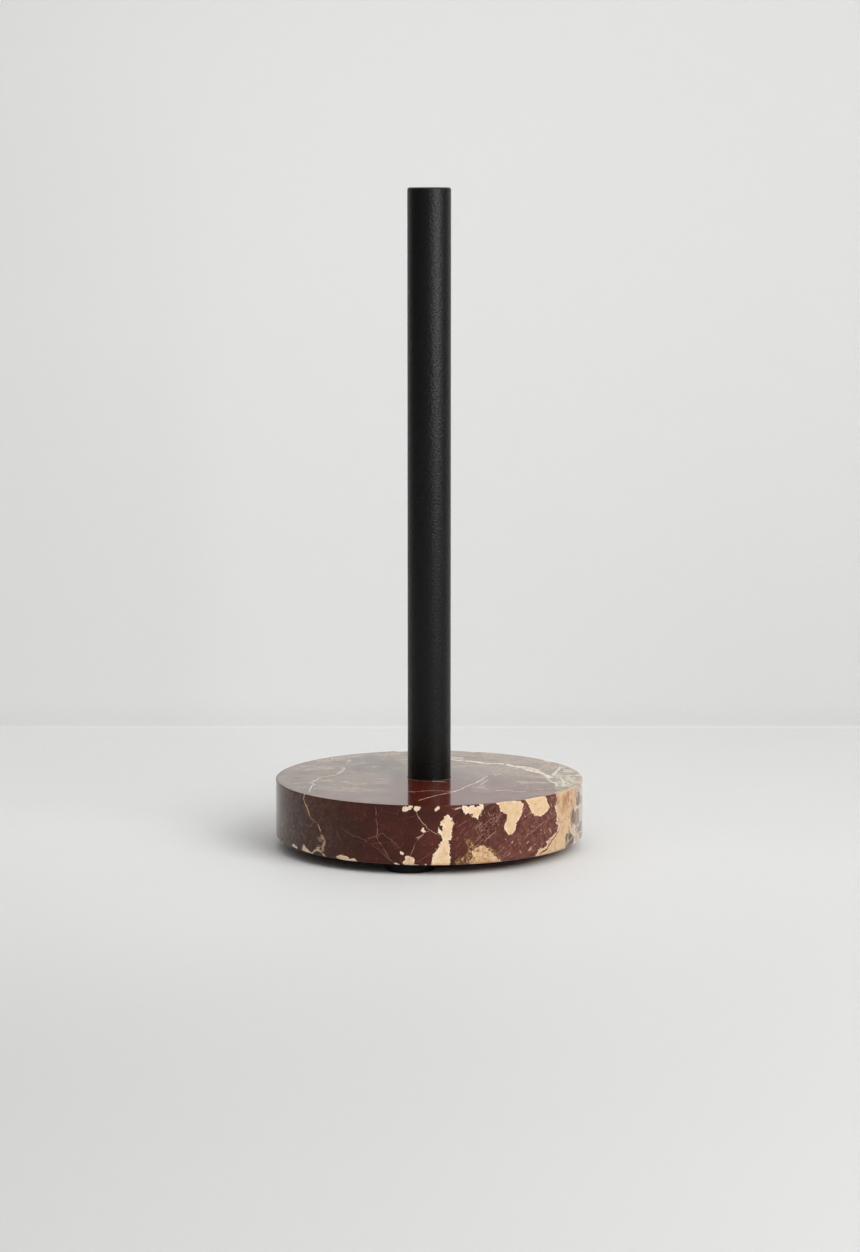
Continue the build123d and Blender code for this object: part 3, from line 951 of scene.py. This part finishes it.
def stone_top(f, body, top, front_right):
    """Soft clouds and streaks of beige and olive over the top face, weaker and redder towards its front, with
    a painted reflection: a plain deep red strip in front of the post.
    """
    # Painted reflection: no clouds or streaks in a strip in front of the post, where the post's dark
    # reflection lies
    outward = f.step(f.calculate("ABSOLUTE", f.x), 8 * MM, 26 * MM)
    outward = f.times(outward, f.calculate("MULTIPLY_ADD", f.step(f.y, -25 * MM, -55 * MM), -0.4, 1.0))
    back = f.step(f.y, -14 * MM, 22 * MM)
    amount = f.times(top, f.greater(outward, back))
    broad = f.noise(22 * MM, detail=6, roughness=0.66, distortion=1.2)
    streak = f.noise(9 * MM, detail=6, roughness=0.62, distortion=1.0)
    clouded = f.ramp(
        broad,
        (0.36, (84, 50, 44)),
        (0.47, (98, 65, 54)),
        (0.55, (122, 97, 74)),
        (0.66, (152, 131, 98)),
    )
    body = f.tint(body, clouded, 0.85, amount)
    body = f.tint(body, (180, 162, 132), 0.42, amount, f.step(streak, 0.48, 0.78))
    body = f.tint(body, (62, 44, 42), 0.5, amount, f.step(streak, 0.46, 0.3))
    wisp = f.noise(5 * MM, detail=6, roughness=0.68, distortion=0.7, where=f.stretched(0.3, 1, 1))
    body = f.tint(body, (172, 148, 116), 0.4, amount, f.step(wisp, 0.52, 0.74))
    body = f.tint(body, (56, 34, 30), 0.6, amount, f.step(wisp, 0.48, 0.34))
    pale_back = f.times(top, f.step(f.x, 0.0, 30 * MM), back)
    body = f.tint(body, (196, 172, 146), 0.28, pale_back)
    reds = f.ramp(broad, (0.4, (88, 37, 26)), (0.6, (118, 58, 41)))
    body = f.tint(body, reds, 0.75, top, front_right)
    scratch = f.noise(6 * MM, detail=5, roughness=0.7, distortion=0.6, where=f.stretched(0.45, 1, 1))
    body = f.tint(body, (190, 163, 130), 0.55, amount, f.step(scratch, 0.5, 0.66))
    body = f.tint(body, (34, 18, 17), 0.75, amount, f.step(scratch, 0.46, 0.34))
    # Painted reflection: deeper red in the strip in front of the post
    middle = f.times(f.calculate("SUBTRACT", top, f.times(top, outward)), f.step(f.y, 4 * MM, -10 * MM))
    return f.tint(body, (112, 42, 30), 0.35, middle)


def stone_hairs(f, body):
    """Hairline cracks healed with pale stone, in a wide and a narrow net, painted glints on the right, and
    pale specks in drifts.
    """
    long_hair = f.step(f.cells(26 * MM, "DISTANCE_TO_EDGE", f.warped(20 * MM, 6 * MM)), 0.007, 0.002)
    long_mask = f.spots(11 * MM, 0.46, 0.6, detail=2)
    body = f.tint(body, (168, 118, 100), 0.3, long_hair, long_mask)
    short_hair = f.step(f.cells(9 * MM, "DISTANCE_TO_EDGE", f.warped(6 * MM, 2.5 * MM)), 0.014, 0.004)
    short_mask = f.spots(15 * MM, 0.48, 0.62, detail=2, where=f.stretched(1, 1, 1.3))
    body = f.tint(body, (156, 106, 90), 0.25, short_hair, short_mask)
    right = f.step(f.x, 2 * MM, 24 * MM)
    slant = f.noise(0.9 * MM, detail=2, where=f.slanted(0.7, 0.45, 7.0))
    slant_mask = f.times(f.spots(10 * MM, 0.4, 0.56, detail=2), right)
    body = f.tint(body, (182, 134, 118), 0.34, f.step(slant, 0.57, 0.66), slant_mask)
    body = f.tint(body, (56, 26, 22), 0.4, f.step(slant, 0.43, 0.34), slant_mask)
    # Painted glints: bright specks on the right side that stand in for sparkles of light
    painted_glint = f.times(f.spots(1.4 * MM, 0.68, 0.75, detail=1), f.step(f.x, 26 * MM, 42 * MM))
    body = f.tint(body, (224, 186, 172), 0.75, painted_glint)
    speck = f.spots(0.9 * MM, 0.66, 0.74, detail=2)
    drift = f.spots(12 * MM, 0.48, 0.62, detail=2)
    return f.tint(body, (176, 132, 116), 0.6, speck, drift)


def stone_zones(f, body):
    """The shattered zone, dark pebbles between pale lines with painted glints, and the olive mottle round the
    front patch.
    """
    torn = f.centred(f.noise(3 * MM, detail=4, roughness=0.65), 4.0)
    shattered = f.step(f.plus(f.carried("shattered"), torn), -0.6, 1.2)
    pebble = f.cells(1.7 * MM, "DISTANCE_TO_EDGE", f.warped(1.5 * MM, 1.2 * MM))
    body = f.tint(body, (46, 18, 16), 0.6, shattered, f.step(pebble, 0.1, 0.3))
    lines = f.times(f.step(pebble, 0.09, 0.02), f.spots(2.4 * MM, 0.44, 0.58, detail=3))
    body = f.tint(body, (170, 122, 106), 0.6, shattered, lines)
    # Painted glints: bright specks in the shattered zone
    painted_glint = f.spots(0.7 * MM, 0.66, 0.71, detail=2)
    body = f.tint(body, (222, 190, 168), 0.8, shattered, painted_glint)
    frayed = f.centred(f.noise(2 * MM, detail=4, roughness=0.7), 3.0)
    olive = f.step(f.plus(f.carried("olive"), frayed), -0.5, 0.7)
    mottle = f.noise(1.1 * MM, detail=5, roughness=0.72)
    browns = f.ramp(
        mottle,
        (0.36, (58, 28, 19)),
        (0.46, (104, 68, 42)),
        (0.55, (160, 122, 78)),
        (0.66, (222, 186, 136)),
    )
    return f.tint(body, browns, 0.85, olive)


def stone_grey(f, cream, fine, top, tan_inside):
    """Broken grey stone in the right side's cream, and sage where the cream runs onto the top."""
    broken = f.warped(4 * MM, 3 * MM, f.stretched(1, 0.4, 1))
    shard = f.crystals(6 * MM, broken)
    seam = f.step(f.cells(6 * MM, "DISTANCE_TO_EDGE", broken), 0.09, 0.02)
    shards = f.ramp(
        shard,
        (0.0, (66, 50, 43)),
        (0.3, (104, 86, 74)),
        (0.52, (148, 130, 113)),
        (0.8, (214, 191, 163)),
        (0.92, (88, 70, 61)),
    )
    shards = f.tint(shards, (196, 180, 166), 0.3, f.step(fine, 0.5, 0.66))
    shards = f.tint(shards, (226, 212, 192), 0.5, seam)
    frayed = f.plus(f.centred(f.crystals(2.4 * MM), 2.0), f.centred(f.noise(1.6 * MM, detail=3), 1.2))
    blotch = f.step(f.plus(f.carried("grey"), frayed), -0.15, 0.3)
    cream = f.tint(cream, shards, 0.9, blotch)
    sage_noise = f.noise(8 * MM, detail=5, roughness=0.62, distortion=1.2)
    sage = f.ramp(
        sage_noise,
        (0.34, (66, 60, 50)),
        (0.44, (112, 103, 82)),
        (0.54, (146, 134, 106)),
        (0.62, (206, 191, 161)),
    )
    inland = f.plus(f.carried("inland"), f.centred(f.noise(6 * MM, detail=4, distortion=0.8), 1.2))
    return f.mix(f.times(top, tan_inside, f.step(inland, -0.15, 0.2)), cream, sage)


def stone_cream(f, fine, edge, top, tan):
    """Colours in the patches: cream with a pale edge and painted shade darker to the right, rust in the tan
    ones, grey and sage on the right.
    """
    cream = f.ramp(fine, (0.3, (219, 181, 136)), (0.52, (236, 205, 165)), (0.75, (247, 224, 194)))
    wide = f.noise(7 * MM, detail=3)
    cream = f.tint(cream, (242, 210, 180), 0.4, f.step(wide, 0.5, 0.68))
    # Painted shade: the cream darker towards the right, where the window light falls strongest
    cream = f.tint(cream, (206, 172, 130), 0.48, f.step(f.x, 12 * MM, 40 * MM))
    pale_edge = f.times(f.step(edge, 1.5, 0.3), f.spots(4 * MM, 0.4, 0.54, detail=2))
    cream = f.tint(cream, (252, 230, 212), 0.75, pale_edge)
    thread = f.step(f.cells(5 * MM, "DISTANCE_TO_EDGE", f.warped(3 * MM, 3 * MM)), 0.03, 0.008)
    thread = f.times(thread, f.spots(6 * MM, 0.5, 0.6, detail=2))
    cream = f.tint(cream, (160, 108, 70), 0.5, thread)
    tan_inside = f.step(tan, -0.4, 0.4)
    right = f.step(f.x, 40 * MM, 50 * MM)
    front_tan = f.times(tan_inside, f.calculate("SUBTRACT", 1.0, right))
    rusty = f.times(f.spots(3 * MM, 0.46, 0.64, detail=5, roughness=0.7, distortion=0.8), front_tan)
    cream = f.tint(cream, (204, 164, 116), 0.45, front_tan)
    cream = f.tint(cream, (190, 144, 96), 0.8, rusty)
    rust_spot = f.times(f.spots(1.2 * MM, 0.53, 0.61, detail=4, roughness=0.7), front_tan)
    cream = f.tint(cream, (122, 82, 54), 0.75, rust_spot)
    right_tan = f.times(tan_inside, right)
    peach = f.spots(9 * MM, 0.4, 0.6, detail=4, distortion=0.6)
    cream = f.tint(cream, (190, 156, 122), 0.45, right_tan)
    cream = f.tint(cream, (212, 168, 128), 0.6, peach, right_tan)
    mottle = f.spots(3.5 * MM, 0.5, 0.66, detail=5, roughness=0.72, distortion=0.6)
    cream = f.tint(cream, (152, 114, 86), 0.65, mottle, right_tan)
    dusky = f.times(f.spots(7 * MM, 0.42, 0.58, detail=4), f.step(f.x, 67 * MM, 75 * MM))
    cream = f.tint(cream, (176, 163, 146), 0.7, dusky, right_tan)
    licks = f.noise(5 * MM, detail=5, roughness=0.66, distortion=0.9, where=f.stretched(1, 1, 0.62))
    licks = f.times(f.step(licks, 0.46, 0.62), f.carried("rust_licks"))
    cream = f.tint(cream, (150, 98, 62), 0.75, licks)
    cream = stone_grey(f, cream, fine, top, tan_inside)
    fleck = f.spots(1.1 * MM, 0.68, 0.74, detail=2)
    return f.tint(cream, (142, 90, 62), 0.6, fleck)


def stone_veins(f, top):
    """Where veins show, where dark cracks show, and the veins' colour: pale, gold, rosy, or whiter on top."""
    waver = f.centred(f.noise(1.6 * MM, detail=3), 1.4)
    vein_side = f.calculate("ABSOLUTE", f.plus(f.carried("vein"), waver))
    strength = f.carried("vein_strength")
    vein = f.times(f.step(vein_side, 1.25, 0.5), f.greater(strength, 0.0))
    vein = f.times(vein, f.spots(3 * MM, 0.3, 0.5, detail=3))
    pale_vein = f.ramp(f.noise(6 * MM), (0.35, (214, 179, 148)), (0.65, (238, 215, 192)))
    vein_colour = f.mix(f.carried("vein_gold"), pale_vein, (208, 150, 84))
    vein_colour = f.mix(f.step(strength, 0.5, 0.25), vein_colour, (206, 152, 132))
    vein_colour = f.tint(vein_colour, (240, 228, 196), 0.6, top)
    crack = f.times(f.step(vein_side, 1.2, 0.5), f.greater(f.times(strength, -1.0), 0.0))
    return vein, crack, vein_colour


def marble_finish():
    """Polished dark red marble: clouded ground, hairlines, veins, cream patches, pits and sawn underside."""
    f = Finish("polished_marble")
    cloud = f.noise(24 * MM, detail=5, roughness=0.6)
    fine = f.noise(2.2 * MM, detail=5, roughness=0.65)
    grain = f.noise(0.5 * MM, detail=2)
    top = f.carried("top")
    tan = f.carried("tan")
    body = stone_body(f, cloud, fine, grain)
    drift = f.centred(f.noise(16 * MM, detail=4, roughness=0.6), 44 * MM)
    to_right = f.step(f.plus(f.x, drift), -6 * MM, 26 * MM)
    front_right = f.times(to_right, f.step(f.plus(f.y, drift), -6 * MM, -36 * MM))
    body = stone_top(f, body, top, front_right)
    body = stone_hairs(f, body)
    body = stone_zones(f, body)
    vein, crack, vein_colour = stone_veins(f, top)

    ragged = f.plus(
        f.centred(f.crystals(1.9 * MM), 1.05),
        f.plus(f.centred(f.crystals(0.8 * MM), 0.7), f.centred(f.noise(0.45 * MM, detail=2), 0.3)),
    )
    edge = f.plus(f.carried("cream"), ragged)
    patch = f.step(edge, -0.06, 0.06)
    stain = f.times(f.step(edge, -1.0, -0.1), f.spots(4 * MM, 0.4, 0.6, detail=2))
    body = f.tint(body, (38, 15, 11), 0.6, stain)
    body = f.mix(vein, body, vein_colour)
    cream = stone_cream(f, fine, edge, top, tan)
    cream = f.tint(cream, (244, 232, 206), 0.8, vein, top)
    colour = f.mix(patch, body, cream)
    colour = f.mix(crack, colour, (62, 32, 26))

    pit = f.step(f.cells(7 * MM, "F1"), 0.045, 0.03)
    pit = f.times(pit, f.spots(5 * MM, 0.5, 0.55))
    colour = f.tint(colour, (30, 16, 13), 0.8, pit)
    chip = f.carried("chip")
    crumb = f.times(f.carried("seat_edge"), f.spots(0.9 * MM, 0.5, 0.6, detail=2))
    pale = f.greater(f.times(chip, 0.6), f.times(crumb, 0.8))
    colour = f.mix(pale, colour, (214, 184, 160))
    sawn = f.carried("sawn")
    dusty = f.ramp(fine, (0.3, (92, 62, 54)), (0.7, (138, 106, 94)))
    colour = f.tint(colour, dusty, 0.5, sawn)

    roughness = f.plus(f.centred(fine, 0.06), 0.1)
    worn = f.greater(sawn, f.greater(chip, pit))
    roughness = f.plus(roughness, f.times(worn, 0.5))
    wear = f.calculate("MULTIPLY_ADD", pit, -0.6, f.times(grain, sawn, 0.8))
    f.relief(wear, 0.08 * MM)
    f.feed(f.shader.inputs["Coat Weight"], f.times(top, f.calculate("MULTIPLY_ADD", front_right, -0.1, 0.3)))
    f.shader.inputs["Coat Roughness"].default_value = 0.06
    return f.surface(colour, roughness, specular=0.22)


def coating_finish():
    """Black powder coat: fine orange-peel relief, satin gloss that varies a little, faint scuffs."""
    f = Finish("black_powder_coat")
    peel = f.noise(1.0 * MM, detail=1, roughness=0.5)
    patchy = f.noise(18 * MM, detail=4)
    scuff = f.spots(3 * MM, 0.66, 0.8, detail=5, where=f.stretched(1, 1, 0.12))
    colour = f.ramp(peel, (0.3, (6, 6, 6)), (0.7, (10, 10, 10)))
    colour = f.tint(colour, (52, 51, 50), 0.25, scuff)
    roughness = f.plus(f.centred(patchy, 0.05), 0.4)
    f.relief(peel, 0.3 * MM, 0.8)
    return f.surface(colour, roughness, specular=0.29)


def zinc_finish():
    """Zinc-plated steel: bright metal with a faint blue and straw tint and cloudy gloss."""
    f = Finish("zinc_plating")
    cloud = f.noise(4 * MM, detail=4)
    colour = f.ramp(cloud, (0.3, (176, 182, 190)), (0.55, (198, 198, 196)), (0.75, (206, 200, 176)))
    spots = f.spots(0.8 * MM, 0.62, 0.72, detail=3)
    colour = f.tint(colour, (126, 126, 124), 0.3, spots)
    roughness = f.plus(f.centred(f.noise(1.2 * MM, detail=3), 0.2), 0.34)
    f.relief(f.noise(0.6 * MM, detail=2), 0.02 * MM, 0.4)
    return f.surface(colour, roughness, metallic=1.0)


def turned_steel_finish():
    """Plain turned steel: fine tool rings along its height and a thin film of oil."""
    f = Finish("turned_steel")
    rings = f.noise(0.3 * MM, detail=2, where=f.stretched(0.05, 0.05, 1))
    colour = f.ramp(rings, (0.3, (120, 118, 114)), (0.7, (164, 162, 158)))
    stain = f.spots(5 * MM, 0.55, 0.75, detail=4)
    colour = f.tint(colour, (96, 84, 70), 0.5, stain)
    roughness = f.plus(f.centred(rings, 0.2), 0.38)
    f.relief(rings, 0.02 * MM, 0.5)
    return f.surface(colour, roughness, metallic=1.0)


def rubber_finish(name, dark, light, feature):
    """Moulded rubber: matt, finely grained, with a little dust."""
    f = Finish(name)
    grain = f.noise(feature, detail=3)
    dust = f.spots(3.5 * MM, 0.58, 0.78, detail=5, roughness=0.7)
    colour = f.tint(f.ramp(grain, (0.3, dark), (0.7, light)), (92, 88, 84), 0.2, dust)
    roughness = f.plus(f.centred(grain, 0.15), 0.72)
    f.relief(grain, 0.04 * MM, 0.5)
    return f.surface(colour, roughness, specular=0.2)


def adhesive_finish():
    """Pale foam tape: open cells and a slightly yellowed body."""
    f = Finish("foam_adhesive")
    cell = f.cells(0.5 * MM, "F1")
    colour = f.ramp(cell, (0.1, (150, 146, 136)), (0.6, (206, 202, 190)))
    colour = f.tint(colour, (196, 182, 150), 0.3, f.noise(4 * MM))
    roughness = f.plus(f.centred(cell, 0.1), 0.8)
    f.relief(cell, 0.05 * MM, 0.5)
    return f.surface(colour, roughness, specular=0.3)


marble = marble_finish()
coating = coating_finish()
zinc = zinc_finish()
turned_steel = turned_steel_finish()
# The feet's black rubber, made darker still to stand in for the shade under the base: partly painted shade
foot_rubber = rubber_finish("foot_rubber", (10, 10, 9), (20, 19, 18), 0.5 * MM)
washer_rubber = rubber_finish("washer_rubber", (26, 26, 26), (44, 43, 42), 0.4 * MM)
foam = adhesive_finish()

dress(marble_base(), marble, "base", "marble", "marble_base")
dress(post_tube(), coating, "post", "black_coating", "post_tube")
dress(top_cap(), coating, "post", "black_coating", "top_cap")
dress(threaded_plug(), turned_steel, "post", "plug_steel", "threaded_plug")
dress(clamp_bolt(), zinc, "bolt", "zinc_steel", "clamp_bolt")
dress(lock_washer(), zinc, "base", "zinc_steel", "lock_washer")
dress(flat_washer(), zinc, "base", "zinc_steel", "flat_washer")
dress(cushion_washer(), washer_rubber, "base", "washer_rubber", "cushion_washer")
for foot_name in FOOT_NAMES:
    dress(rubber_foot(foot_name), foot_rubber, "base", "foot_rubber", "rubber_foot_" + foot_name)
    dress(adhesive_disc(foot_name), foam, "base", "adhesive", "adhesive_disc_" + foot_name)


# Studio: a pale floor that turns up into a wall behind, seen from its front only
WALL_DISTANCE = 0.347
COVE_RADIUS = 0.002
STAGE_HALF_WIDTH = 4.0
STAGE_FRONT = -4.0
WALL_HEIGHT = 3.0
COVE_POINTS = 9


def studio_sweep():
    """Profile of floor, small cove and wall in (y, z), carried straight along x."""
    turn = np.linspace(0, np.pi / 2, COVE_POINTS)
    cove_y = WALL_DISTANCE - COVE_RADIUS + COVE_RADIUS * np.sin(turn)
    cove_z = COVE_RADIUS - COVE_RADIUS * np.cos(turn)
    y = np.concatenate([[STAGE_FRONT], cove_y, [WALL_DISTANCE]])
    z = np.concatenate([[0.0], cove_z, [WALL_HEIGHT]])
    left = np.stack([np.full(y.size, -STAGE_HALF_WIDTH), y, z], axis=1)
    right = left * (-1, 1, 1)
    points = np.vstack([left, right])
    first = np.arange(y.size - 1)
    faces = np.stack([first, first + y.size, first + y.size + 1, first + 1], axis=1)
    mesh = bpy.data.meshes.new("studio_sweep")
    mesh.from_pydata(points.tolist(), [], faces.tolist())
    mesh.shade_smooth()
    return linked("studio_sweep", mesh)


def studio_finish():
    """Matt pale paint with a very faint cloud, with painted shade darker to the right, to the front and far
    from the object; clear where it is seen from behind.
    """
    f = Finish("pale_studio_paint")
    cloud = f.noise(0.35, detail=3)
    colour = f.ramp(cloud, (0.3, (226, 226, 225)), (0.7, (230, 230, 229)))
    wall = f.step(f.z, 0.0, 0.02)
    colour = f.mix(wall, colour, (233, 233, 232))
    # Painted shade: floor and wall darker towards the right, where the window light falls strongest
    painted_shade_right = f.step(f.x, -0.2, 0.24)
    colour = f.tint(colour, (196, 196, 195), 0.28, painted_shade_right)
    # Painted shade: the floor darker towards the front
    painted_shade_front = f.step(f.y, 0.05, -0.5)
    colour = f.mix(painted_shade_front, colour, (210, 210, 209))
    # Painted shade: the floor fades to a dim grey far from the object, standing in for a dim room round the
    # lamps
    away = f.calculate("SQRT", f.plus(f.times(f.x, f.x), f.times(f.y, f.y)))
    colour = f.mix(f.step(away, 0.75, 1.6), colour, (104, 104, 103))
    material = f.surface(colour, 0.55, specular=0.2)
    behind = f.add("NewGeometry", "Backfacing", {})
    clear = f.add("BsdfTransparent", "BSDF", {})
    either = f.add("MixShader", "Shader", {0: behind, 1: f.shader.outputs["BSDF"], 2: clear})
    f.feed(f.tree.nodes["Material Output"].inputs["Surface"], either)
    return material


sweep = studio_sweep()
sweep.data.materials.append(studio_finish())


def soft_light(name, place, aim, size, watts, spread=180):
    """Soft light of this width and height, turned to face its aim, its beam held to a spread in degrees."""
    lamp = bpy.data.lights.new(name, "AREA")
    lamp.shape = "RECTANGLE"
    lamp.size, lamp.size_y = size
    lamp.energy = watts
    lamp.spread = np.radians(spread)
    light = linked(name, lamp)
    light.location = place
    direction = np.array(aim) - np.array(place)
    light.rotation_euler = Vector(direction).to_track_quat("-Z", "Y").to_euler()
    light.visible_camera = False


# A near strip draws the highlight on the post, a window lights the stone, an overhead softens the shadows
soft_light("strip_light", (0.405, -0.445, 0.27), (0.0, 0.0, 0.31), (0.45, 0.1), watts=0.31, spread=80)
soft_light("window_light", (0.82, -0.9, 0.9), (0.0, 0.0, 0.05), (1.0, 0.7), watts=12.4)
soft_light("overhead_light", (0.3, -0.4, 1.8), (0.0, 0.1, 0.05), (1.6, 1.4), watts=5.4)

# World: even light from above that fades to a dim room in front
DIM_BELOW = 0.1
BRIGHT_ABOVE = 0.85
DIM_LIGHT = 0.1
BRIGHT_LIGHT = 0.74
world = bpy.data.worlds.new("studio_room")
world.use_nodes = True
bpy.context.scene.world = world
room = world.node_tree
direction = room.nodes.new("ShaderNodeTexCoord").outputs["Generated"]
split = room.nodes.new("ShaderNodeSeparateXYZ")
room.links.new(direction, split.inputs["Vector"])
height_ramp = room.nodes.new("ShaderNodeMapRange")
height_ramp.interpolation_type = "SMOOTHSTEP"
height_ramp.inputs["From Min"].default_value = DIM_BELOW
height_ramp.inputs["From Max"].default_value = BRIGHT_ABOVE
height_ramp.inputs["To Min"].default_value = DIM_LIGHT
height_ramp.inputs["To Max"].default_value = BRIGHT_LIGHT
room.links.new(split.outputs["Z"], height_ramp.inputs["Value"])
background = room.nodes["Background"]
background.inputs["Color"].default_value = (1.0, 1.0, 0.99, 1.0)
room.links.new(height_ramp.outputs["Result"], background.inputs["Strength"])

# Camera: level with the top of the post, tipped down, at the photograph's distance
CAMERA_PLACE = (0.0004, -1.6358, 0.334)
CAMERA_PITCH = 7.814
CAMERA_LENS = 96.30
SENSOR_LONG_SIDE = 36.0
lens = bpy.data.cameras.new("photo_camera")
lens.lens = CAMERA_LENS
lens.sensor_width = SENSOR_LONG_SIDE
lens.clip_start = 0.01
lens.clip_end = 50.0
camera = linked("photo_camera", lens)
camera.location = CAMERA_PLACE
camera.rotation_euler = (np.radians(90 - CAMERA_PITCH), 0.0, 0.0)
bpy.context.scene.camera = camera
bpy.context.scene.view_settings.view_transform = "Standard"
